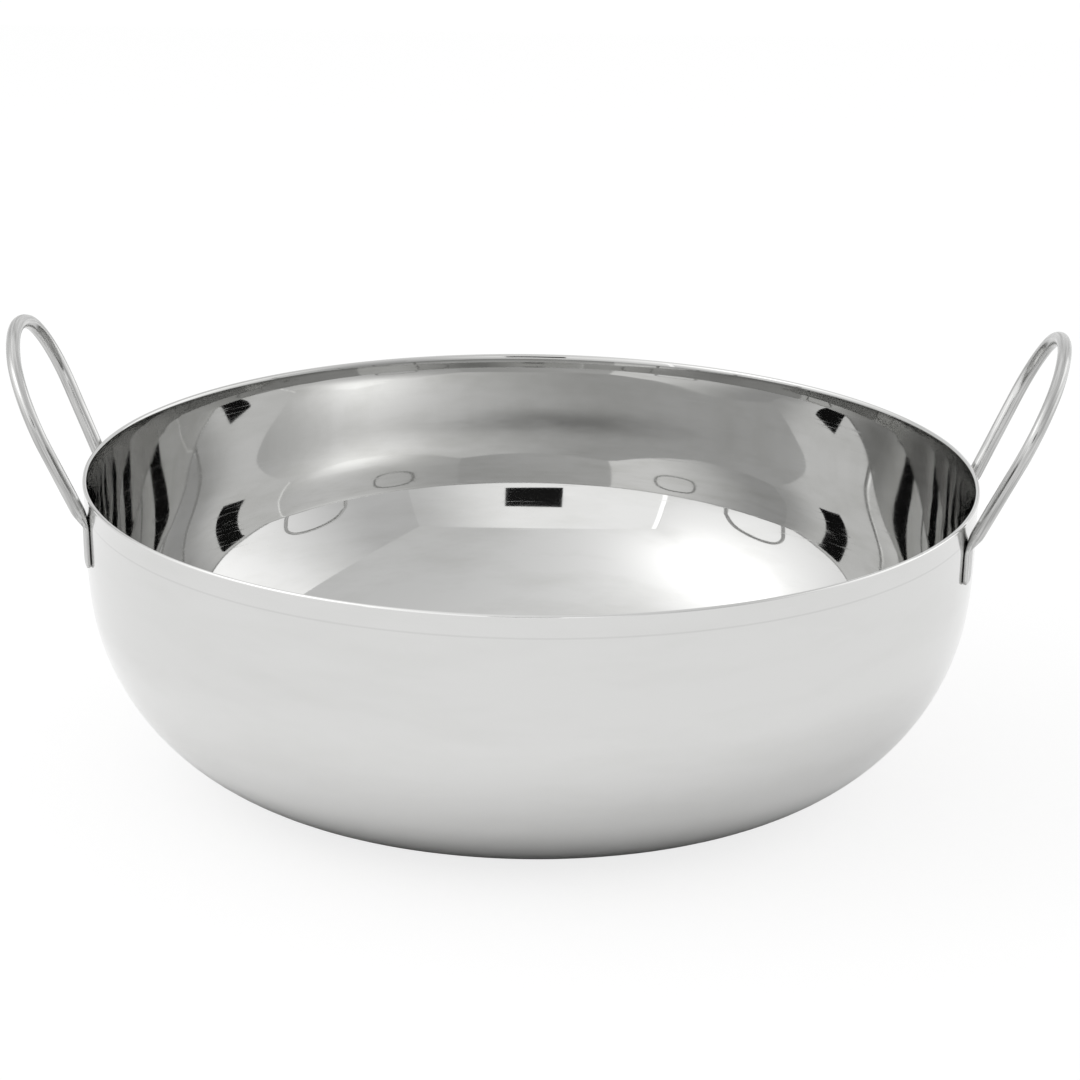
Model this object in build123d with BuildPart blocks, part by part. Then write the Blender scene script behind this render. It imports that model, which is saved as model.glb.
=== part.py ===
# Kadai: a deep round cooking bowl with two upright loop handles of round rod, in millimetres.
# The origin is the centre of the flat base, +Z is up, and the handles stand at the ends of the X axis.
from build123d import *
from math import asin, cos, degrees, radians, sin, sqrt, tan
import os

# Bowl
rim_diameter = 360.0          # outermost, at the lip
overall_height = 126.0        # base to the top of the rim
sheet = 1.8                   # thickness of the pressed sheet
heel_radius = 92.0            # outside radius of the round corner between base and wall
shoulder_radius = 80.0        # outside radius of the short tighter bend above the heel
shoulder_lean = 18.0          # degrees from upright where heel and shoulder meet
wall_lean = 6.3               # degrees from upright where shoulder and wall meet
collar_height = 9.3           # band below the rim that flares out a little, above a faint crease
collar_lean = 4.5             # degrees by which it leans
lip_lean = 28.0               # degrees by which the lip at its top leans
lip_radius = 8.0              # outside radius of the bend from collar to lip

# Handles
rod_diameter = 5.6
foot_spacing = 84.8           # between the two legs of a loop, centre to centre, at rim level
leg_flare = 10.0              # degrees by which each leg spreads outward on its way up
side_bend_radius = 31.3       # bend radii are those of the rod's centre line
side_bend_end = 68.0          # degrees past upright where the side bend runs into the arch
left_leg, right_leg = 23.3, 27.4                      # straight leg above rim level
left_lean, right_lean = 25.0, 26.8                    # degrees by which the loop leans out
left_bend_depth, right_bend_depth = 13.0, 13.6        # where the leg meets the wall, below the rim
left_tang_end, right_tang_end = 29.4, 27.4            # lower end of the tangs, below the rim

# The rod's ends are forged flat into tangs, which lie on the wall and are welded to it
tang_thickness = 1.7
tang_width = 10.0
tang_corner = 3.0
tang_cover = 4.0              # how far a tang reaches up past the bend, behind the leg
forge_run = 5.0               # length over which the rod flattens, each way from the bend
bend_width_share = 0.68       # width of the half-forged rod at the bend, of the tang's
bend_thickness_share = 0.8    # its thickness there, of the rod's diameter
forge_inset_share = 0.94      # the forged end lies just inside the tang's own faces
seat_share = 0.4              # where the leg's centre line meets the tang, of its thickness

# Values that follow from these
rim_radius = rim_diameter / 2
rim_round = sheet / 2         # the rim's edge is ground to a full round
wall_top = overall_height - collar_height
overrun = 2 * sheet           # how far a blank runs past what it cuts


def section_step(lean, reach):
    # A step in the bowl's section along the outward normal of a wall that leans by this angle.
    return Vector(reach * cos(radians(lean)), -reach * sin(radians(lean)))


# The collar runs up into the lip, whose edge is the rim
rim_centre = Vector(rim_radius - rim_round, overall_height - rim_round)
lip_centre = rim_centre + section_step(lip_lean, rim_round + lip_radius)
collar_top = lip_centre - section_step(collar_lean, lip_radius)
crease_radius = collar_top.X - (collar_top.Y - wall_top) * tan(radians(collar_lean))

# Centres of the three arcs of the wall's section, each running smoothly into the next
shoulder_rise = shoulder_radius * (sin(radians(shoulder_lean)) - sin(radians(wall_lean)))
wall_foot = heel_radius * (1 - sin(radians(shoulder_lean))) + shoulder_rise
wall_radius = (wall_top - wall_foot) / sin(radians(wall_lean))
wall_centre = Vector(crease_radius - wall_radius, wall_top)
shoulder_centre = wall_centre + section_step(wall_lean, wall_radius - shoulder_radius)
heel_centre = shoulder_centre + section_step(shoulder_lean, shoulder_radius - heel_radius)
base_radius = heel_centre.X


def wall_section(inset):
    # The section from the edge of the base up to the rim, moved inward by the inset.
    CenterArc(heel_centre, heel_radius - inset, -90, 90 - shoulder_lean)
    CenterArc(shoulder_centre, shoulder_radius - inset, -shoulder_lean, shoulder_lean - wall_lean)
    CenterArc(wall_centre, wall_radius - inset, -wall_lean, wall_lean)
    Line(
        (crease_radius - inset, wall_top),
        lip_centre - section_step(collar_lean, lip_radius + inset),
    )
    CenterArc(lip_centre, lip_radius + inset, 180 - collar_lean, collar_lean - lip_lean)


# The bowl: its flat base, round heel, wall and collar are one pressed sheet
with BuildPart() as bowl:
    with BuildSketch(Plane.XZ):
        with BuildLine():
            Line((0, 0), (base_radius, 0))
            wall_section(0)
            ThreePointArc(
                rim_centre + section_step(lip_lean, rim_round),
                rim_centre + section_step(lip_lean - 90, rim_round),
                rim_centre - section_step(lip_lean, rim_round),
            )
            wall_section(sheet)
            Polyline((base_radius, sheet), (0, sheet), (0, 0))
        make_face()
    revolve(axis=Axis.Z)
bowl.part.label = "bowl"

# The same outside as a filled solid, to cut the handles to the wall
with BuildPart() as wall_blank:
    with BuildSketch(Plane.XZ):
        with BuildLine():
            Line((0, 0), (base_radius, 0))
            wall_section(0)
            Polyline(
                rim_centre + section_step(lip_lean, rim_round),
                (rim_radius, overall_height + overrun),
                (0, overall_height + overrun),
                (0, 0),
            )
        make_face()
    revolve(axis=Axis.Z)


def wall_lean_at(depth):
    # How far the wall leans from upright, in degrees, at a depth below the rim.
    return degrees(asin(max(depth - collar_height, 0) / wall_radius))


def wall_radius_at(depth):
    # The bowl's outside radius at a depth below the rim, where the wall's arc is.
    return wall_centre.X + wall_radius * cos(radians(wall_lean_at(depth)))


def loop_handle(side, leg, lean, bend_depth, tang_end):
    # One loop: side is +1 on the right and -1 on the left. Its plane leans outward.
    flare = radians(leg_flare)
    turn = radians(side_bend_end)
    foot_half = foot_spacing / 2

    # Where the centre line of the leg meets the tang, below the rim
    bend_reach = bend_depth / cos(radians(lean))
    bend_half = foot_half - bend_reach * tan(flare)
    bend_azimuth = degrees(asin(bend_half / wall_radius_at(bend_depth)))
    wall_x = sqrt(wall_radius_at(bend_depth) ** 2 - bend_half**2)
    plane_x = wall_x + seat_share * tang_thickness + bend_depth * tan(radians(lean))
    plane = Plane(
        origin=(side * plane_x, 0, overall_height),
        x_dir=(0, 1, 0),
        z_dir=(cos(radians(lean)), 0, -side * sin(radians(lean))),
    )

    # Corners of the centre line in that plane, and the centres of its arcs
    leg_foot = (bend_half + forge_run * tan(flare), forge_run - bend_reach)
    leg_top = (foot_half + leg * sin(flare), leg * cos(flare))
    side_centre = (
        leg_top[0] - side_bend_radius * cos(flare),
        leg_top[1] + side_bend_radius * sin(flare),
    )
    arch_radius = side_bend_radius + side_centre[0] / cos(turn)
    arch_centre = side_centre[1] - side_centre[0] * tan(turn)

    with BuildPart() as handle:
        with BuildLine(plane) as centre_line:
            Line((-leg_foot[0], leg_foot[1]), (-leg_top[0], leg_top[1]))
            CenterArc((-side_centre[0], side_centre[1]), side_bend_radius,
                      180 + leg_flare, -leg_flare - side_bend_end)
            CenterArc((0, arch_centre), arch_radius, 180 - side_bend_end, 2 * side_bend_end - 180)
            CenterArc(side_centre, side_bend_radius, side_bend_end, -side_bend_end - leg_flare)
            Line(leg_top, leg_foot)
        rod_path = centre_line.wire()
        with BuildSketch(Plane(origin=rod_path @ 0, z_dir=rod_path % 0)):
            Circle(rod_diameter / 2)
        sweep(path=rod_path)

        for end, across in ((0, -1), (1, 1)):
            outward = Vector(side, 0, 0).rotate(Axis.Z, side * across * bend_azimuth)
            sideways = Vector(0, 0, 1).cross(outward)

            # The rod flattens from its round through the bend into the tang
            bend = plane.from_local_coords((across * bend_half, -bend_reach, 0))
            tang_in = bend - Vector(0, 0, forge_run)
            away = (rod_path % end) * (1 if end == 0 else -1)
            with BuildSketch(Plane(origin=rod_path @ end, x_dir=sideways, z_dir=away)):
                Circle(rod_diameter / 2)
            half_down = away + Vector(0, 0, 1)
            with BuildSketch(Plane(origin=bend, x_dir=sideways, z_dir=half_down)):
                Ellipse(bend_width_share * tang_width / 2, bend_thickness_share * rod_diameter / 2)
            with BuildSketch(Plane(origin=tang_in, x_dir=sideways, z_dir=(0, 0, 1))):
                Ellipse(forge_inset_share * tang_width / 2, forge_inset_share * tang_thickness / 2)
            loft()

            # The tang lies on the wall, from behind the leg down to its rounded end
            tang_middle = (bend_depth - tang_cover + tang_end) / 2
            lean_there = radians(wall_lean_at(tang_middle))
            face_out = outward * cos(lean_there) - Vector(0, 0, sin(lean_there))
            on_wall = outward * wall_radius_at(tang_middle)
            seat = Vector(on_wall.X, on_wall.Y, overall_height - tang_middle)
            face = Plane(origin=seat + face_out * tang_thickness, x_dir=sideways, z_dir=face_out)
            with BuildSketch(face):
                RectangleRounded(tang_width, tang_end - bend_depth + tang_cover, tang_corner)
            extrude(amount=-tang_thickness - overrun)

        add(wall_blank.part, mode=Mode.SUBTRACT)
    return handle


handle_left = loop_handle(-1, left_leg, left_lean, left_bend_depth, left_tang_end)
handle_left.part.label = "handle_left"
handle_right = loop_handle(1, right_leg, right_lean, right_bend_depth, right_tang_end)
handle_right.part.label = "handle_right"

os.makedirs("parts", exist_ok=True)
export_step(bowl.part, "parts/bowl.step")
export_step(handle_left.part, "parts/handle_left.step")
export_step(handle_right.part, "parts/handle_right.step")
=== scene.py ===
import math
import bpy
import bmesh
from mathutils import Matrix, Vector


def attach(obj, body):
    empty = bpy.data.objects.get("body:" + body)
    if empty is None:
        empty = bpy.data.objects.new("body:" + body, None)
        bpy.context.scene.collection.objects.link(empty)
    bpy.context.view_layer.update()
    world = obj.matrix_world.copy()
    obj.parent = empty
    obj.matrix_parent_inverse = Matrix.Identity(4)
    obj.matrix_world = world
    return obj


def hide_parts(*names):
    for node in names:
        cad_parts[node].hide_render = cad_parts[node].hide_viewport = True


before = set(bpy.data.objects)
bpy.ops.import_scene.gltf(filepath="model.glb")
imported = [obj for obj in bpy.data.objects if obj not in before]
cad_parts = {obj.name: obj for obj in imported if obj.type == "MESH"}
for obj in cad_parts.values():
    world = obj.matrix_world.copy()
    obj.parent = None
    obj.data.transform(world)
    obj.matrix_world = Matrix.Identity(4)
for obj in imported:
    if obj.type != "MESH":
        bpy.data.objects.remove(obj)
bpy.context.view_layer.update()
print("frame loaded:", ", ".join(sorted(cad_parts)))

mm = 0.001
turnedBy = 2.2  # degrees by which the kadai stands turned against the camera and the light tent
turn = Matrix.Rotation(math.radians(turnedBy), 4, "Z")


def colour(code):
    # sRGB hex to a linear colour with alpha
    parts = [int(code[i:i + 2], 16) / 255 for i in (1, 3, 5)]
    return [p / 12.92 if p <= 0.04045 else ((p + 0.055) / 1.055) ** 2.4 for p in parts] + [1]


def addNode(tree, kind, inputs=None, **settings):
    # one node with its settings, its values and the links that feed it; a node given
    # as a value is linked by its first output
    node = tree.nodes.new(kind)
    for name, value in settings.items():
        setattr(node, name, value)
    for key, value in (inputs or {}).items():
        source = value.outputs[0] if isinstance(value, bpy.types.Node) else value
        if isinstance(source, bpy.types.NodeSocket):
            tree.links.new(source, node.inputs[key])
        else:
            node.inputs[key].default_value = source
    return node


def newMaterial(name):
    material = bpy.data.materials.new(name)
    material.use_nodes = True
    material.node_tree.nodes.clear()
    return material, material.node_tree


def addObject(name, mesh):
    thing = bpy.data.objects.new(name, mesh)
    bpy.context.scene.collection.objects.link(thing)
    return thing


# The camera
cameraPlan = dict(  # metres, degrees and, for the lens and its sensor, millimetres
    distance=2.880, elevation=16.9609, yaw=0.0771, pitch=-0.5017, roll=0.7607, aimHeight=0.126,
    lens=239.1, sensor=36.0, nearest=0.1, furthest=100.0,
    bounces=24,  # along the bright wall a reflection runs on many times
)


def placeCamera(plan):
    high, side, tip, roll = (math.radians(plan[key]) for key in ("elevation", "yaw", "pitch", "roll"))
    back = Vector((0, -math.cos(high), math.sin(high)))
    up = Vector((0, math.sin(high), math.cos(high)))
    level = -back * math.cos(side) + Vector((1, 0, 0)) * math.sin(side)
    ahead = level * math.cos(tip) + up * math.sin(tip)
    right = ahead.cross(up).normalized()
    over = right.cross(ahead)
    xAxis = right * math.cos(roll) + over * math.sin(roll)
    yAxis = over * math.cos(roll) - right * math.sin(roll)
    data = bpy.data.cameras.new("camera")
    data.lens = plan["lens"]
    data.sensor_width = plan["sensor"]
    data.clip_start = plan["nearest"]
    data.clip_end = plan["furthest"]
    camera = addObject("camera", data)
    axes = Matrix((xAxis, yAxis, -ahead)).transposed().to_4x4()
    place = Matrix.Translation(back * plan["distance"] + Vector((0, 0, plan["aimHeight"])))
    camera.matrix_world = turn @ place @ axes
    bpy.context.scene.camera = camera


placeCamera(cameraPlan)
bpy.context.scene.view_settings.view_transform = "Standard"
bpy.context.scene.cycles.max_bounces = cameraPlan["bounces"]
bpy.context.scene.cycles.glossy_bounces = cameraPlan["bounces"]
print("camera placed")


# The light tent, in metres and in the camera's frame
tentTop, tentFront, tentBack = 1.213, -1.5, 1.3
frontRight, frontLeft, backRight, backLeft = 1.050, -1.230, 1.210, -1.060
gapRight, gapLeft = -1.165, -1.232  # a slit is open here, beside the left panel
slotFront, roomFront = -1.495, -1.51  # the camera slot is just inside the front panel, the room outside it
overlap = 0.005  # by which the ceiling's corner reaches past the left panel

tentPlan = dict(  # glow runs from one end of a panel to the other, spots are the lamps behind the cloth
    front=dict(
        corners=[(frontRight, tentFront, 0), (gapRight, tentFront, 0),
                 (gapRight, tentFront, tentTop), (frontRight, tentFront, tentTop)],
        glow=(0.80, 1.34), between=(0.0, 0.45)),
    ceiling=dict(
        corners=[(frontRight, tentFront, tentTop), (frontLeft - overlap, tentFront, tentTop),
                 (backLeft, tentBack, tentTop), (backRight, tentBack, tentTop)],
        glow=(0.84, 1.24), between=(0.2, 0.9),
        spots=[dict(at=(1.0, 0.42), size=(0.24, 0.28), more=1.1)]),
    right=dict(
        corners=[(frontRight, tentFront, 0), (backRight, tentBack, 0),
                 (backRight, tentBack, tentTop), (frontRight, tentFront, tentTop)],
        glow=(0.72, 1.60), between=(0.18, 0.72)),
    left=dict(
        corners=[(frontLeft, tentFront, 0), (backLeft, tentBack, 0),
                 (backLeft, tentBack, tentTop), (frontLeft, tentFront, tentTop)],
        glow=(1.08, 0.86), between=(0.35, 0.9),
        spots=[dict(at=(0.42, 1.0), size=(0.42, 0.75), more=0.6),
               dict(at=(0.42, 1.0), size=(0.20, 0.28), more=1.1)]),
    back=dict(
        corners=[(backRight, tentBack, 0), (backLeft, tentBack, 0),
                 (backLeft, tentBack, tentTop), (backRight, tentBack, tentTop)],
        glow=(0.98, 0.84), between=(0.0, 1.0)),
    slot=dict(  # the dark opening that the lens looks through
        corners=[(0.190, slotFront, 0.420), (-0.241, slotFront, 0.401),
                 (-0.245, slotFront, 0.785), (0.201, slotFront, 0.779)],
        glow=(0.012, 0.012), between=(0.0, 1.0)),
    gap=dict(  # the brighter room seen through the slit
        corners=[(gapRight, roomFront, 0), (gapLeft, roomFront, 0),
                 (gapLeft, roomFront, tentTop), (gapRight, roomFront, tentTop)],
        glow=(1.9, 1.9), between=(0.0, 1.0)),
)


def glowShader(tree, plan):
    # emission that runs smoothly along the panel, with a soft spot where a lamp stands behind the cloth
    across = addNode(tree, "ShaderNodeUVMap", uv_map="panel")
    split = addNode(tree, "ShaderNodeSeparateXYZ", {0: across})
    start, end = plan["between"]
    first, last = plan["glow"]
    strength = addNode(tree, "ShaderNodeMapRange", {
        "Value": split, "From Min": start, "From Max": end, "To Min": first, "To Max": last,
    }, interpolation_type="SMOOTHSTEP")
    for spot in plan.get("spots", []):
        middle, size = (*spot["at"], 0), (*spot["size"], 1)
        moved = addNode(tree, "ShaderNodeVectorMath", {0: across, 1: middle}, operation="SUBTRACT")
        scaled = addNode(tree, "ShaderNodeVectorMath", {0: moved, 1: size}, operation="DIVIDE")
        square = addNode(tree, "ShaderNodeVectorMath", {0: scaled, 1: scaled}, operation="DOT_PRODUCT")
        fall = addNode(tree, "ShaderNodeMath", {0: square.outputs["Value"], 1: -1.0}, operation="MULTIPLY")
        bell = addNode(tree, "ShaderNodeMath", {0: fall}, operation="EXPONENT")
        strength = addNode(tree, "ShaderNodeMath", {
            0: bell, 1: spot["more"], 2: strength}, operation="MULTIPLY_ADD")
    return addNode(tree, "ShaderNodeEmission", {"Color": colour("#FFFFFF"), "Strength": strength})


def makePanel(name, plan):
    mesh = bpy.data.meshes.new("tent_" + name)
    mesh.from_pydata([turn @ Vector(corner) for corner in plan["corners"]], [], [(0, 1, 2, 3)])
    layer = mesh.uv_layers.new(name="panel")
    for loop, place in zip(layer.data, ((0, 0), (1, 0), (1, 1), (0, 1))):
        loop.uv = place
    panel = addObject("tent_" + name, mesh)
    material, tree = newMaterial("diffusion cloth " + name)
    addNode(tree, "ShaderNodeOutputMaterial", {"Surface": glowShader(tree, plan)})
    mesh.materials.append(material)
    panel.visible_camera = False
    panel.visible_shadow = False


for panelName, panelPlan in tentPlan.items():
    makePanel(panelName, panelPlan)


# The floor and the world
stagePlan = dict(  # metres from the bowl's axis, and shares of white
    floorHalf=14.0, floorPaper="#FAFAFA", seenWhite=0.80, worldLight=0.92,
    mirroredWhite=0.90, mirroredFrom=(0.155, 0.30),  # the steel mirrors the paper glowing white, the glow fading out close to the bowl as painted shade
    paintedShadowPaper="#8C8C8B", paintedShadowTo=(0.092, 0.150),  # and a painted shadow, darker grey paper, where the two nearly touch
)


def makeFloor(plan):
    half = plan["floorHalf"]
    corners = [(-half, -half, 0), (half, -half, 0), (half, half, 0), (-half, half, 0)]
    mesh = bpy.data.meshes.new("floor")
    mesh.from_pydata(corners, [], [(0, 1, 2, 3)])
    floor = addObject("floor", mesh)
    material, tree = newMaterial("white paper sweep")
    path = addNode(tree, "ShaderNodeLightPath")
    bounced = addNode(tree, "ShaderNodeMath", {
        0: path.outputs["Is Glossy Ray"], 1: path.outputs["Is Transmission Ray"],
    }, operation="MAXIMUM")
    spot = addNode(tree, "ShaderNodeTexCoord").outputs["Object"]
    away = addNode(tree, "ShaderNodeVectorMath", {0: spot}, operation="LENGTH").outputs["Value"]
    # painted shade: the white glow that the steel mirrors fades out close to the bowl
    near, far = plan["mirroredFrom"]
    glowPastPaintedShade = addNode(tree, "ShaderNodeMapRange", {
        "Value": away, "From Min": near, "From Max": far, "To Min": 0.0, "To Max": plan["mirroredWhite"],
    }, interpolation_type="SMOOTHSTEP")
    mirrored = addNode(tree, "ShaderNodeMath", {0: bounced, 1: glowPastPaintedShade}, operation="MULTIPLY")
    share = addNode(tree, "ShaderNodeMath", {
        0: path.outputs["Is Camera Ray"], 1: plan["seenWhite"], 2: mirrored,
    }, operation="MULTIPLY_ADD")
    # painted shadow: the paper that the steel mirrors turns a darker grey close to the bowl
    touching, clear = plan["paintedShadowTo"]
    paintedShadow = addNode(tree, "ShaderNodeMapRange", {
        "Value": away, "From Min": touching, "From Max": clear, "To Min": 1.0, "To Max": 0.0,
    }, interpolation_type="SMOOTHSTEP")
    paintedShadowShare = addNode(tree, "ShaderNodeMath", {0: bounced, 1: paintedShadow}, operation="MULTIPLY")
    tone = addNode(tree, "ShaderNodeMix", {
        0: paintedShadowShare, 6: colour(plan["floorPaper"]), 7: colour(plan["paintedShadowPaper"]),
    }, data_type="RGBA")
    paper = addNode(tree, "ShaderNodeBsdfDiffuse", {"Color": tone.outputs[2]})
    white = addNode(tree, "ShaderNodeEmission", {"Color": colour("#FFFFFF"), "Strength": 1.0})
    mixed = addNode(tree, "ShaderNodeMixShader", {0: share, 1: paper, 2: white})
    addNode(tree, "ShaderNodeOutputMaterial", {"Surface": mixed})
    mesh.materials.append(material)


def makeWorld(plan):
    world = bpy.data.worlds.new("studio")
    bpy.context.scene.world = world
    world.use_nodes = True
    tree = world.node_tree
    tree.nodes.clear()
    light = addNode(tree, "ShaderNodeBackground", {
        "Color": colour("#FFFFFF"), "Strength": plan["worldLight"]})
    addNode(tree, "ShaderNodeOutputWorld", {"Surface": light})


makeFloor(stagePlan)
makeWorld(stagePlan)
print("stage ready:", len(tentPlan), "tent panels")


# The bowl
bowlPlan = dict(  # millimetres and degrees
    rimDiameter=360.0, height=126.0, sheet=1.8,
    lipLean=19.0, lipRadius=3.2,  # the lip is curled outward
    collarLean=7.5, collarHeight=5.5, creaseRound=7.0,  # the collar under it flares out a little
    wallLean=2.2, heelLean=18.0, heelRadius=92.0, easing=3.2,  # the wall leans more and more to the heel
    waviness=0.02, sideWaviness=0.40, sideFade=8.0,  # welding on the handles left the wall wavier there
    waveSize=30.0, waveDetail=1.0, waveRoughness=0.4,
    segments=512, wallSteps=60, lipCrowding=1.5, heelSteps=26, baseSteps=3, rimSteps=12, mergeWithin=0.01,
)


def leanAt(plan, depth, joint):
    # how far the inside of the wall leans from upright, in degrees, at a depth below the rim
    below = depth - plan["collarHeight"]
    share = max(0, below / (joint - plan["collarHeight"]))
    wall = plan["wallLean"] + (plan["heelLean"] - plan["wallLean"]) * share ** plan["easing"]
    turned = min(max(below / plan["creaseRound"] + 0.5, 0), 1)
    collar = plan["collarLean"] + (wall - plan["collarLean"]) * turned * turned * (3 - 2 * turned)
    tip = math.sin(math.radians(plan["lipLean"]))
    curl = tip - (depth - plan["sheet"] / 2 * (1 - tip)) / (plan["lipRadius"] + plan["sheet"])
    return max(collar, math.degrees(math.asin(curl))) if curl > 0 else collar


def bowlSection(plan):
    # inner face as (radius, height, lean), from the rim down the wall, round the heel and over the base
    sheet, height = plan["sheet"], plan["height"]
    heelSteps, baseSteps = plan["heelSteps"], plan["baseSteps"]
    heel = plan["heelRadius"] - sheet
    heelLean = math.radians(plan["heelLean"])
    joint = height - sheet - heel * (1 - math.sin(heelLean))  # depth at which the wall runs into the heel
    tip = math.radians(plan["lipLean"])
    start = sheet / 2 * (1 - math.sin(tip))
    shares = [i / plan["wallSteps"] for i in range(plan["wallSteps"] + 1)]
    depths = [start + (joint - start) * share ** plan["lipCrowding"] for share in shares]
    slopes = [math.tan(math.radians(leanAt(plan, depth, joint))) for depth in depths]
    radius = plan["rimDiameter"] / 2 - sheet / 2 * (1 + math.cos(tip))
    face = []
    for i, depth in enumerate(depths):
        if i:
            radius -= (slopes[i] + slopes[i - 1]) / 2 * (depth - depths[i - 1])
        face.append((radius, height - depth, math.atan(slopes[i])))
    centre = radius - heel * math.cos(heelLean)
    for i in range(1, heelSteps + 1):
        lean = heelLean + (math.pi / 2 - heelLean) * i / heelSteps
        face.append((centre + heel * math.cos(lean), sheet + heel * (1 - math.sin(lean)), lean))
    face += [(centre * (1 - i / baseSteps), sheet, math.pi / 2) for i in range(1, baseSteps + 1)]
    return face


def outerSection(plan, inner):
    # the outer face, one sheet's thickness outside the inner one
    sheet = plan["sheet"]
    return [
        (r + sheet * math.cos(lean) if r > 0 else 0, z - sheet * math.sin(lean), lean)
        for r, z, lean in inner
    ]


def sectionMesh(plan):
    # the sheet's whole section as a line: inside from the axis up, round the ground rim, outside and down
    inner = bowlSection(plan)
    outer = outerSection(plan, inner)
    half = plan["sheet"] / 2
    radius, height, tip = inner[0]
    middle = (radius + half * math.cos(tip), height - half * math.sin(tip))
    turns = [math.pi - tip - math.pi * i / plan["rimSteps"] for i in range(1, plan["rimSteps"])]
    rim = [(middle[0] + half * math.cos(a), middle[1] + half * math.sin(a)) for a in turns]
    line = [(r, z) for r, z, _ in reversed(inner)] + rim + [(r, z) for r, z, _ in outer]
    mesh = bpy.data.meshes.new("bowl_section")
    mesh.from_pydata([(r * mm, z * mm, 0) for r, z in line], [(i, i + 1) for i in range(len(line) - 1)], [])
    side = mesh.attributes.new("outside", "FLOAT", "POINT")  # 0 inside, 1 outside, between them at the rim
    run = mesh.attributes.new("run", "FLOAT", "POINT")  # metres along the section
    length = 0
    for i, place in enumerate(line):
        if i:
            length += math.dist(place, line[i - 1])
        side.data[i].value = min(max((i - len(inner) + 1) / (len(rim) + 1), 0), 1)
        run.data[i].value = length * mm
    return mesh


def addSockets(tree, **kinds):
    tree.interface.new_socket("Geometry", in_out="OUTPUT", socket_type="NodeSocketGeometry")
    tree.interface.new_socket("Geometry", in_out="INPUT", socket_type="NodeSocketGeometry")
    for name, kind in kinds.items():
        tree.interface.new_socket(name, in_out="INPUT", socket_type="NodeSocket" + kind)
    return addNode(tree, "NodeGroupInput").outputs


def bowlTree(plan):
    # the section swept round the axis, with the faint waviness that pressing and buffing leave in the sheet
    tree = bpy.data.node_groups.new("bowl lathe", "GeometryNodeTree")
    given = addSockets(
        tree, Segments="Int", Radius="Float", Finish="Material",
        Waviness="Float", SideWaviness="Float", WaveSize="Float")
    curve = addNode(tree, "GeometryNodeMeshToCurve", {0: given["Geometry"]})
    pathRadius = 0.1  # metres: the sweep's circle, so the section is moved in by as much and turned over
    moved = addNode(tree, "GeometryNodeTransform", {
        0: curve, "Translation": (-pathRadius, 0, 0), "Rotation": (math.pi, 0, 0)})
    path = addNode(tree, "GeometryNodeCurvePrimitiveCircle", {
        "Resolution": given["Segments"], "Radius": pathRadius})
    swept = addNode(tree, "GeometryNodeCurveToMesh", {"Curve": path, "Profile Curve": moved})
    closed = addNode(tree, "GeometryNodeMergeByDistance", {0: swept, "Distance": plan["mergeWithin"] * mm})
    position = addNode(tree, "GeometryNodeInputPosition")
    scaled = addNode(tree, "ShaderNodeVectorMath", {
        0: position, "Scale": given["WaveSize"]}, operation="SCALE")
    noise = addNode(tree, "ShaderNodeTexNoise", {
        "Vector": scaled, "Scale": 1.0, "Detail": plan["waveDetail"], "Roughness": plan["waveRoughness"]})
    centred = addNode(tree, "ShaderNodeMath", {0: noise, 1: 0.5}, operation="SUBTRACT")
    places = addNode(tree, "ShaderNodeSeparateXYZ", {0: position})
    sideways = addNode(tree, "ShaderNodeMath", {0: places, 1: given["Radius"]}, operation="DIVIDE")
    sideShare = addNode(tree, "ShaderNodeMath", {0: sideways, 1: plan["sideFade"]}, operation="POWER")
    waviness = addNode(tree, "ShaderNodeMath", {
        0: sideShare, 1: given["SideWaviness"], 2: given["Waviness"]}, operation="MULTIPLY_ADD")
    amount = addNode(tree, "ShaderNodeMath", {0: centred, 1: waviness}, operation="MULTIPLY")
    level = addNode(tree, "ShaderNodeVectorMath", {0: position, 1: (1, 1, 0)}, operation="MULTIPLY")
    radial = addNode(tree, "ShaderNodeVectorMath", {0: level}, operation="NORMALIZE")
    push = addNode(tree, "ShaderNodeVectorMath", {0: radial, "Scale": amount}, operation="SCALE")
    waved = addNode(tree, "GeometryNodeSetPosition", {0: closed, "Offset": push})
    smooth = addNode(tree, "GeometryNodeSetShadeSmooth", {0: waved})
    real = addNode(tree, "GeometryNodeRealizeInstances", {0: smooth})
    finished = addNode(tree, "GeometryNodeSetMaterial", {0: real, "Material": given["Finish"]})
    addNode(tree, "NodeGroupOutput", {0: finished})
    return tree


finishPlan = dict(  # millimetres, and shares of the noise between which a mark comes up
    rimDiameter=bowlPlan["rimDiameter"], baseRadius=85.0, insideUntil=0.1,
    insideSteel="#C9C9C8", outsideSteel="#D7D7D6", wipedSteel="#F5F5F4", pitAndPaintedShadeSteel="#4A4A49",
    insideRoughness=0.022, outsideRoughness=0.10, smudgeRoughness=0.03, scratchRoughness=0.06,
    ringPitch=0.9, ringArc=160.0, ringDepth=0.0004,  # real rings are 0.05 mm apart, drawn coarser to show
    scratchPitch=0.5, scratchArc=22.0, scratchDepth=0.18, scratchShare=(0.70, 0.78),
    smudgePitch=16.0, smudgeArc=70.0, smudgeShare=(0.45, 0.72), outsideSmudge=0.35,
    pitSpacing=60.0, pitShare=0.006, pitFade=1.6,
    # painted shade: a dark line along the crease under the rim
    creaseHeight=bowlPlan["height"] - 9.3, creaseWidth=0.6, paintedCreaseShade=0.11,
    # painted shade: a dark line just under the rim's inner edge
    edgeHeight=bowlPlan["height"] - 1.7, edgeWidth=1.2, paintedEdgeShade=0.42,
    # a soft streaky darker patch high on the inside of the back wall
    patchPlace=(4.0, 175.0, 97.0), patchSize=(48.0, 60.0, 5.0), patchShade=0.55,
    patchStreaks=(0.3, 0.6), patchLeast=0.25,
)


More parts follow.
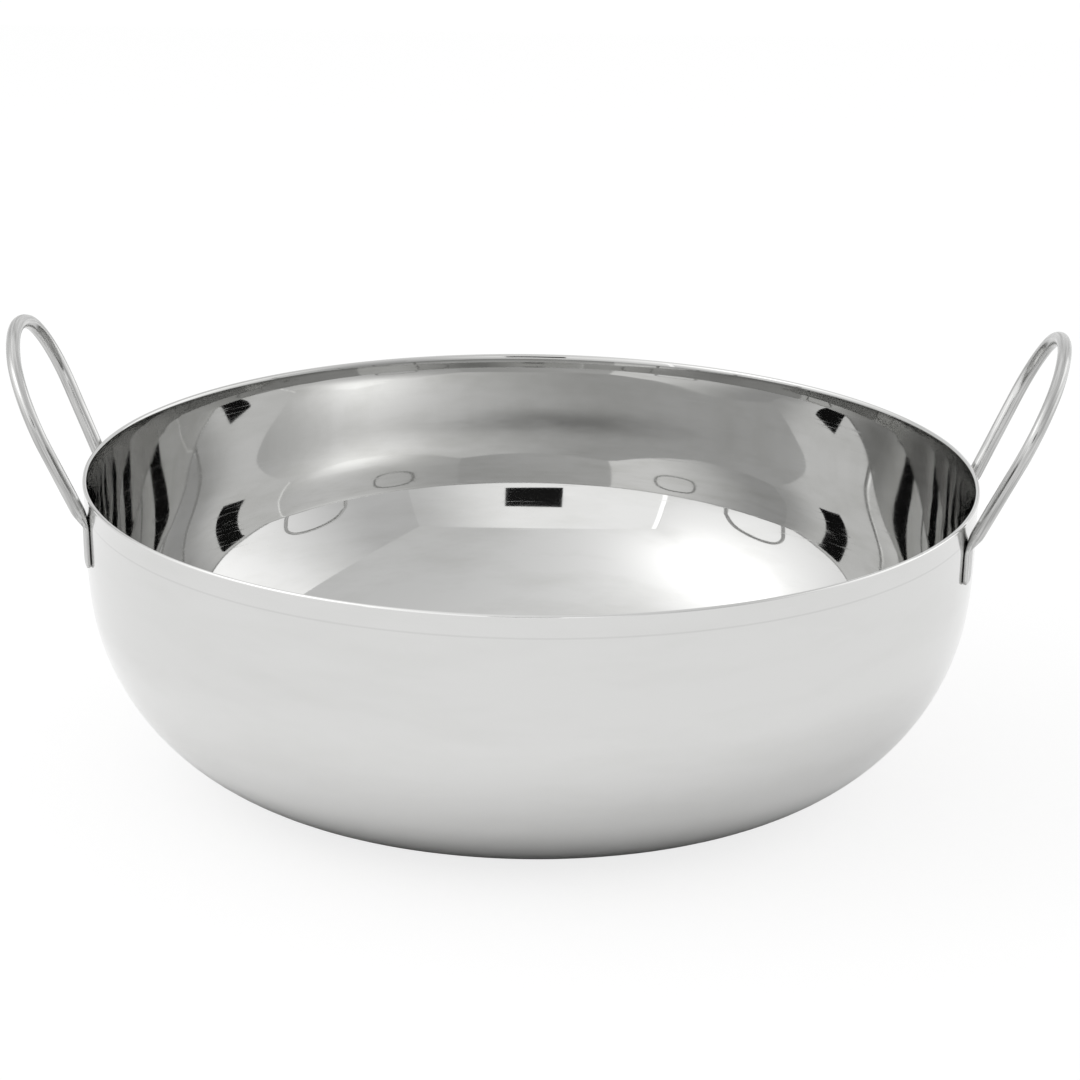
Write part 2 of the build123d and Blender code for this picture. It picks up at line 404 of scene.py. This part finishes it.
def bowlFinish(plan):
    # pressed stainless sheet, mirror buffed inside and a little softer outside: sharp reflections with
    # faint rings from the buffing wheel, wiping smudges that dull them, and hair scratches round the bowl
    material, tree = newMaterial("mirror buffed stainless sheet")
    spot = addNode(tree, "ShaderNodeTexCoord").outputs["Object"]
    outside = addNode(tree, "ShaderNodeAttribute", attribute_name="outside").outputs["Fac"]
    run = addNode(tree, "ShaderNodeAttribute", attribute_name="run").outputs["Fac"]
    flat = addNode(tree, "ShaderNodeVectorMath", {0: spot, 1: (1, 1, 0)}, operation="MULTIPLY")
    fromAxis = addNode(tree, "ShaderNodeVectorMath", {0: flat}, operation="LENGTH").outputs["Value"]
    atLeast = addNode(tree, "ShaderNodeMath", {0: fromAxis, 1: plan["baseRadius"] * mm}, operation="MAXIMUM")
    perLength = addNode(tree, "ShaderNodeMath", {0: 1.0, 1: atLeast}, operation="DIVIDE")
    around = addNode(tree, "ShaderNodeVectorMath", {0: flat, "Scale": perLength}, operation="SCALE")

    def ringNoise(pitch, arc, detail=2.0, roughness=0.5):
        # noise drawn out round the bowl: pitch is its size up the wall, arc round it, in mm
        turns = addNode(tree, "ShaderNodeVectorMath", {
            0: around, "Scale": plan["rimDiameter"] / 2 / arc}, operation="SCALE")
        up = addNode(tree, "ShaderNodeMath", {0: run, 1: 1 / (pitch * mm)}, operation="MULTIPLY")
        lift = addNode(tree, "ShaderNodeCombineXYZ", {2: up})
        place = addNode(tree, "ShaderNodeVectorMath", {0: turns, 1: lift}, operation="ADD")
        return addNode(tree, "ShaderNodeTexNoise", {
            "Vector": place, "Scale": 1.0, "Detail": detail, "Roughness": roughness})

    rings = ringNoise(plan["ringPitch"], plan["ringArc"])
    scratches = ringNoise(plan["scratchPitch"], plan["scratchArc"], detail=0.0)
    wiped = ringNoise(plan["smudgePitch"], plan["smudgeArc"], detail=4.0, roughness=0.62)
    low, high = plan["scratchShare"]
    hair = addNode(tree, "ShaderNodeMapRange", {"Value": scratches, "From Min": low, "From Max": high})
    low, high = plan["smudgeShare"]
    smudge = addNode(tree, "ShaderNodeMapRange", {"Value": wiped, "From Min": low, "From Max": high})

    # roughness: smoother inside, duller under smudges and scratches
    rough = addNode(tree, "ShaderNodeMapRange", {
        "Value": outside, "To Min": plan["insideRoughness"], "To Max": plan["outsideRoughness"]})
    for mark, more in ((smudge, plan["smudgeRoughness"]), (hair, plan["scratchRoughness"])):
        rough = addNode(tree, "ShaderNodeMath", {0: mark, 1: more, 2: rough}, operation="MULTIPLY_ADD")

    # the steel's own tone, a little greyer where it was wiped
    sheetTone = addNode(tree, "ShaderNodeMix", {
        0: outside, 6: colour(plan["insideSteel"]), 7: colour(plan["outsideSteel"])}, data_type="RGBA")
    fade = addNode(tree, "ShaderNodeMapRange", {
        "Value": outside, "To Min": 1.0, "To Max": plan["outsideSmudge"]})
    smudgeTone = addNode(tree, "ShaderNodeMath", {0: smudge, 1: fade}, operation="MULTIPLY")
    tone = addNode(tree, "ShaderNodeMix", {
        0: smudgeTone, 6: sheetTone.outputs[2], 7: colour(plan["wipedSteel"]),
    }, data_type="RGBA", blend_type="MULTIPLY")

    # marks outside: fine pits, and a painted shade line along the crease left by pressing under the rim
    pits = addNode(tree, "ShaderNodeTexVoronoi", {
        "Vector": spot, "Scale": 1 / (plan["pitSpacing"] * mm), "Randomness": 1.0})
    pit = addNode(tree, "ShaderNodeMapRange", {
        "Value": pits.outputs["Distance"], "From Min": plan["pitShare"],
        "From Max": plan["pitShare"] * plan["pitFade"], "To Min": 1.0, "To Max": 0.0})
    height = addNode(tree, "ShaderNodeSeparateXYZ", {0: spot}).outputs[2]
    fromCrease = addNode(tree, "ShaderNodeMath", {
        0: height, 1: plan["creaseHeight"] * mm}, operation="SUBTRACT")
    offCrease = addNode(tree, "ShaderNodeMath", {0: fromCrease}, operation="ABSOLUTE")
    paintedCreaseLine = addNode(tree, "ShaderNodeMapRange", {
        "Value": offCrease, "From Min": 0.0, "From Max": plan["creaseWidth"] * mm,
        "To Min": plan["paintedCreaseShade"], "To Max": 0.0})
    outerMarks = addNode(tree, "ShaderNodeMath", {0: paintedCreaseLine, 1: pit}, operation="MAXIMUM")
    marksOut = addNode(tree, "ShaderNodeMath", {0: outerMarks, 1: outside}, operation="MULTIPLY")

    # marks inside: a painted shade line just under the rim's inner edge, and a soft streaky darker patch
    # high on the back wall
    inside = addNode(tree, "ShaderNodeMapRange", {
        "Value": outside, "From Max": plan["insideUntil"], "To Min": 1.0, "To Max": 0.0})
    fromEdge = addNode(tree, "ShaderNodeMath", {0: height, 1: plan["edgeHeight"] * mm}, operation="SUBTRACT")
    offEdge = addNode(tree, "ShaderNodeMath", {0: fromEdge}, operation="ABSOLUTE")
    paintedEdgeLine = addNode(tree, "ShaderNodeMapRange", {
        "Value": offEdge, "From Min": 0.0, "From Max": plan["edgeWidth"] * mm,
        "To Min": plan["paintedEdgeShade"], "To Max": 0.0}, interpolation_type="SMOOTHSTEP")
    paintedEdgeLineInside = addNode(tree, "ShaderNodeMath", {0: paintedEdgeLine, 1: inside}, operation="MULTIPLY")
    patchMiddle = [v * mm for v in plan["patchPlace"]]
    patchScale = [1 / (v * mm) for v in plan["patchSize"]]
    patchFrom = addNode(tree, "ShaderNodeVectorMath", {0: spot, 1: patchMiddle}, operation="SUBTRACT")
    patchAt = addNode(tree, "ShaderNodeVectorMath", {0: patchFrom, 1: patchScale}, operation="MULTIPLY")
    patchSquare = addNode(tree, "ShaderNodeVectorMath", {0: patchAt, 1: patchAt}, operation="DOT_PRODUCT")
    patchFall = addNode(tree, "ShaderNodeMath", {
        0: patchSquare.outputs["Value"], 1: -1.0}, operation="MULTIPLY")
    darkPatch = addNode(tree, "ShaderNodeMath", {0: patchFall}, operation="EXPONENT")
    low, high = plan["patchStreaks"]
    streaks = addNode(tree, "ShaderNodeMapRange", {
        "Value": wiped, "From Min": low, "From Max": high, "To Min": plan["patchLeast"], "To Max": 1.0})
    darkPatchIn = addNode(tree, "ShaderNodeMath", {0: darkPatch, 1: streaks}, operation="MULTIPLY")
    darkPatchInside = addNode(tree, "ShaderNodeMath", {0: darkPatchIn, 1: inside}, operation="MULTIPLY")
    darkPatchPart = addNode(tree, "ShaderNodeMath", {
        0: darkPatchInside, 1: plan["patchShade"]}, operation="MULTIPLY")
    marksIn = addNode(tree, "ShaderNodeMath", {0: paintedEdgeLineInside, 1: darkPatchPart}, operation="MAXIMUM")

    allMarks = addNode(tree, "ShaderNodeMath", {0: marksOut, 1: marksIn}, operation="MAXIMUM")
    # the dark colour is put in for the pits, for the painted shade lines at the crease and rim edge, and for
    # the darker patch
    marked = addNode(tree, "ShaderNodeMix", {
        0: allMarks, 6: tone.outputs[2], 7: colour(plan["pitAndPaintedShadeSteel"])}, data_type="RGBA")
    relief = addNode(tree, "ShaderNodeMath", {
        0: hair, 1: -plan["scratchDepth"], 2: rings}, operation="MULTIPLY_ADD")
    bump = addNode(tree, "ShaderNodeBump", {
        "Strength": 1.0, "Distance": plan["ringDepth"] * mm, "Height": relief})
    shader = addNode(tree, "ShaderNodeBsdfPrincipled", {
        "Base Color": marked.outputs[2], "Metallic": 1.0, "Roughness": rough, "Normal": bump})
    addNode(tree, "ShaderNodeOutputMaterial", {"Surface": shader})
    return material


bowlSteel = bowlFinish(finishPlan)


def runTree(name, mesh, tree, values):
    # the tree's result on that mesh, as a plain mesh
    holder = addObject(name + "_maker", mesh)
    modifier = holder.modifiers.new("maker", "NODES")
    modifier.node_group = tree
    for item in tree.interface.items_tree:
        if item.in_out == "INPUT" and item.name in values:
            modifier[item.identifier] = values[item.name]
    made = bpy.data.meshes.new_from_object(holder.evaluated_get(bpy.context.evaluated_depsgraph_get()))
    bpy.data.objects.remove(holder)
    bpy.data.meshes.remove(mesh)
    made.name = name
    return made


def makeBowl(plan):
    values = {
        "Segments": plan["segments"], "Radius": plan["rimDiameter"] / 2 * mm, "Finish": bowlSteel,
        "Waviness": plan["waviness"] * mm, "SideWaviness": plan["sideWaviness"] * mm,
        "WaveSize": 1 / (plan["waveSize"] * mm)}
    mesh = runTree("bowl_shell", sectionMesh(plan), bowlTree(plan), values)
    form = bmesh.new()
    form.from_mesh(mesh)
    bmesh.ops.recalc_face_normals(form, faces=form.faces)
    form.to_mesh(mesh)
    form.free()
    bowl = addObject("bowl_shell", mesh)
    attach(bowl, "root")
    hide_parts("bowl")
    print("bowl made:", len(mesh.vertices), "vertices,", len(mesh.loop_triangles), "triangles")


makeBowl(bowlPlan)


# The handles
rodPlan = dict(  # millimetres, and shares of the noise between which a mark comes up
    steel="#CBCBCA", darkSteel="#9C9C9B", roughness=(0.16, 0.30), forgedRoughness=0.06,
    streakWidth=0.9, streakLength=26.0, streakDepth=0.02, streakShare=(0.35, 0.68),
    cloudWidth=4.0, cloudLength=14.0, cloudShare=(0.3, 0.7), hammerSize=2.6, hammerDepth=6.0, grain=0.6,
)


def rodFinish(plan):
    # bent stainless rod, belt buffed along its length: soft lengthwise streaks, duller and uneven at the
    # forged ends
    material, tree = newMaterial("belt buffed stainless rod")
    lay = addNode(tree, "ShaderNodeAttribute", attribute_name="lay").outputs["Vector"]
    forged = addNode(tree, "ShaderNodeAttribute", attribute_name="forged").outputs["Fac"]

    def streaks(wide, long, detail=3.0):
        scale = (1 / wide, 1 / wide, 1 / long)
        drawn = addNode(tree, "ShaderNodeVectorMath", {0: lay, 1: scale}, operation="MULTIPLY")
        return addNode(tree, "ShaderNodeTexNoise", {
            "Vector": drawn, "Scale": 1.0, "Detail": detail, "Roughness": plan["grain"]})

    buffed = streaks(plan["streakWidth"], plan["streakLength"])
    cloudy = streaks(plan["cloudWidth"], plan["cloudLength"])
    hammered = streaks(plan["hammerSize"], plan["hammerSize"], detail=1.0)
    low, high = plan["cloudShare"]
    smooth, dull = plan["roughness"]
    rough = addNode(tree, "ShaderNodeMapRange", {
        "Value": cloudy, "From Min": low, "From Max": high, "To Min": smooth, "To Max": dull})
    rough = addNode(tree, "ShaderNodeMath", {
        0: forged, 1: plan["forgedRoughness"], 2: rough}, operation="MULTIPLY_ADD")
    low, high = plan["streakShare"]
    share = addNode(tree, "ShaderNodeMapRange", {"Value": buffed, "From Min": low, "From Max": high})
    tone = addNode(tree, "ShaderNodeMix", {
        0: share, 6: colour(plan["steel"]), 7: colour(plan["darkSteel"])}, data_type="RGBA")
    dents = addNode(tree, "ShaderNodeMath", {0: hammered, 1: forged}, operation="MULTIPLY")
    relief = addNode(tree, "ShaderNodeMath", {
        0: dents, 1: plan["hammerDepth"], 2: buffed}, operation="MULTIPLY_ADD")
    bump = addNode(tree, "ShaderNodeBump", {
        "Strength": 1.0, "Distance": plan["streakDepth"] * mm, "Height": relief})
    shader = addNode(tree, "ShaderNodeBsdfPrincipled", {
        "Base Color": tone.outputs[2], "Metallic": 1.0, "Roughness": rough, "Normal": bump})
    addNode(tree, "ShaderNodeOutputMaterial", {"Surface": shader})
    return material


rodSteel = rodFinish(rodPlan)

handlePlan = dict(  # millimetres and degrees, as in the solid to within 0.4
    rod=5.6, footSpacing=84.8, flare=10.0, bendRadius=31.3, bendEnd=68.0,
    tangThickness=1.7, tangWidth=10.0, tangCorner=3.0, seatShare=0.4,
    forgeBelow=1.5, forgeAbove=8.5,  # the rod flattens from this far above the bend to this far below it
    forgePull=0.42, tipThinning=0.35, tipCrowding=1.6,
    flatSquareness=6.0, roundSquareness=2.0, roundingPace=1.5,  # 2 is a true ellipse, more is squarer
    ring=40, tangSteps=24, forgeSteps=24, legSteps=8, bendSteps=24, archSteps=16,
    left=dict(side=-1, leg=23.1, lean=24.65, bendDepth=13.0, tangEnd=29.4),
    right=dict(side=1, leg=27.2, lean=26.48, bendDepth=13.6, tangEnd=27.4),
)
outerFace = outerSection(bowlPlan, bowlSection(bowlPlan))


def wallAt(depth):
    # outside radius and lean of the wall at a depth below the rim
    z = bowlPlan["height"] - depth
    for (r0, z0, lean0), (r1, z1, lean1) in zip(outerFace, outerFace[1:]):
        if z1 <= z:
            t = (z0 - z) / (z0 - z1)
            return r0 + (r1 - r0) * t, lean0 + (lean1 - lean0) * t


def tangStations(plan, one, outward):
    # the tang, from its rounded tip up the wall, as stations: place, normal, half width, half thickness
    # and squareness
    half, broad, corner = plan["tangThickness"] / 2, plan["tangWidth"] / 2, plan["tangCorner"]
    top = one["bendDepth"] + plan["forgeBelow"]
    stations = []
    for i in range(plan["tangSteps"] + 1):
        down = one["tangEnd"] - (one["tangEnd"] - top) * (i / plan["tangSteps"]) ** plan["tipCrowding"]
        radius, lean = wallAt(down)
        normal = outward * math.cos(lean) - Vector((0, 0, math.sin(lean)))
        place = outward * radius + Vector((0, 0, bowlPlan["height"] - down)) + normal * half
        short = max(corner - (one["tangEnd"] - down), 0)
        cut = corner - math.sqrt(corner ** 2 - short ** 2)
        thin = half * (1 - plan["tipThinning"] * cut / corner)
        stations.append((place, normal, broad - cut, thin, plan["flatSquareness"]))
    return stations


def forgedStations(plan, tang, foot, legEnd, legNormal, outward):
    # the forged bend, where the flat tang runs up into the round of the leg along a smooth curve
    half, rod, broad = plan["tangThickness"] / 2, plan["rod"] / 2, plan["tangWidth"] / 2
    start, startNormal = tang[-1][:2]
    startUp = (start - tang[-2][0]).normalized()
    legUp = (legEnd - foot).normalized()
    pull = (foot - start).length * plan["forgePull"]
    fromTang, toLeg = start + startUp * pull, foot - legUp * pull
    stations = []
    for i in range(1, plan["forgeSteps"]):
        t = i / plan["forgeSteps"]
        left = 1 - t
        place = start * left ** 3 + fromTang * 3 * t * left ** 2 + toLeg * 3 * t * t * left + foot * t ** 3
        ease = t * t * (3 - 2 * t)
        thick = half + (rod - half) * ease
        radius, lean = wallAt(bowlPlan["height"] - place.z)
        clear = (Vector((place.x, place.y)).length - radius) * math.cos(lean)
        place = place + outward * max(thick - clear, 0)
        rounding = min(plan["roundingPace"] * t, 1)
        square = plan["flatSquareness"] + (plan["roundSquareness"] - plan["flatSquareness"]) * rounding
        normal = startNormal.lerp(legNormal, ease).normalized()
        stations.append((place, normal, broad + (rod - broad) * ease, thick, square))
    return stations


def loopLine(plan, one):
    # stations of half a loop, from its tang's tip to the top of the arch, and how many of them are forged
    flare, turnEnd, lean = (math.radians(v) for v in (plan["flare"], plan["bendEnd"], one["lean"]))
    side, depth, bendRadius = one["side"], one["bendDepth"], plan["bendRadius"]
    footHalf = plan["footSpacing"] / 2
    reach = depth / math.cos(lean)
    bendHalf = footHalf - reach * math.tan(flare)
    wallRadius = wallAt(depth)[0]
    seat = plan["seatShare"] * plan["tangThickness"]
    planeX = math.sqrt(wallRadius ** 2 - bendHalf ** 2) + seat + depth * math.tan(lean)
    azimuth = math.asin(bendHalf / wallRadius)

    def inPlane(across, up):
        out = side * (planeX + up * math.sin(lean))
        return Vector((out, across, bowlPlan["height"] + up * math.cos(lean)))

    legTop = Vector((footHalf + one["leg"] * math.sin(flare), one["leg"] * math.cos(flare)))
    sideCentre = legTop + Vector((-math.cos(flare), math.sin(flare))) * bendRadius
    archRadius = bendRadius + sideCentre.x / math.cos(turnEnd)
    archY = sideCentre.y - sideCentre.x * math.tan(turnEnd)
    outward = Vector((side * math.cos(azimuth), math.sin(azimuth), 0))
    legNormal = Vector((side * math.cos(lean), 0, -math.sin(lean)))
    foot = inPlane(bendHalf + plan["forgeAbove"] * math.tan(flare), plan["forgeAbove"] - reach)
    legEnd = inPlane(legTop.x, legTop.y)
    stations = tangStations(plan, one, outward)
    stations += forgedStations(plan, stations, foot, legEnd, legNormal, outward)
    forgedCount = len(stations)

    # leg, side bend and arch, all round rod
    legSteps, bendSteps, archSteps = plan["legSteps"], plan["bendSteps"], plan["archSteps"]
    places = [foot.lerp(legEnd, i / legSteps) for i in range(legSteps)]
    for i in range(bendSteps):
        a = -flare + (flare + turnEnd) * i / bendSteps
        places.append(inPlane(
            sideCentre.x + bendRadius * math.cos(a), sideCentre.y + bendRadius * math.sin(a)))
    for i in range(archSteps + 1):
        a = turnEnd + (math.pi / 2 - turnEnd) * i / archSteps
        places.append(inPlane(archRadius * math.cos(a), archY + archRadius * math.sin(a)))
    rod = plan["rod"] / 2
    stations += [(place, legNormal, rod, rod, plan["roundSquareness"]) for place in places]
    return stations, forgedCount


def makeHandle(plan, name, node):
    halfLoop, forgedCount = loopLine(plan, plan[name])
    flip = Vector((1, -1, 1))
    stations = halfLoop + [(p * flip, n * flip, w, h, q) for p, n, w, h, q in reversed(halfLoop[:-1])]
    form = bmesh.new()
    rings = []
    lays = []
    forged = []
    run = 0
    last = len(stations) - 1
    for i, (place, normal, wide, thick, square) in enumerate(stations):
        before, after = stations[max(i - 1, 0)][0], stations[min(i + 1, last)][0]
        run += (place - before).length
        along = (after - before).normalized()
        out = (normal - along * normal.dot(along)).normalized()
        across = along.cross(out)
        ring = []
        for k in range(plan["ring"]):
            a = 2 * math.pi * k / plan["ring"]
            c, s = math.cos(a), math.sin(a)
            fit = (abs(c) ** square + abs(s) ** square) ** (-1 / square)
            ring.append(form.verts.new((place + across * c * fit * wide + out * s * fit * thick) * mm))
            lays.append((c * fit * wide, s * fit * thick, run))
            forged.append(1.0 if min(i, last - i) < forgedCount else 0.0)
        rings.append(ring)
    for ringA, ringB in zip(rings, rings[1:]):
        for k in range(plan["ring"]):
            m = (k + 1) % plan["ring"]
            form.faces.new((ringA[k], ringA[m], ringB[m], ringB[k]))
    form.faces.new(rings[0])
    form.faces.new(rings[-1])
    bmesh.ops.recalc_face_normals(form, faces=form.faces)
    mesh = bpy.data.meshes.new("loop_" + name)
    form.to_mesh(mesh)
    form.free()
    mesh.shade_smooth()
    lay = mesh.attributes.new("lay", "FLOAT_VECTOR", "POINT")  # mm across, through and along the rod
    lay.data.foreach_set("vector", [value for place in lays for value in place])
    mesh.attributes.new("forged", "FLOAT", "POINT").data.foreach_set("value", forged)
    mesh.materials.append(rodSteel)
    handle = addObject("loop_" + name, mesh)
    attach(handle, "root")
    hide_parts(node)
    print("handle made:", name, len(mesh.vertices), "vertices")


makeHandle(handlePlan, "left", "handle_left")
makeHandle(handlePlan, "right", "handle_right")
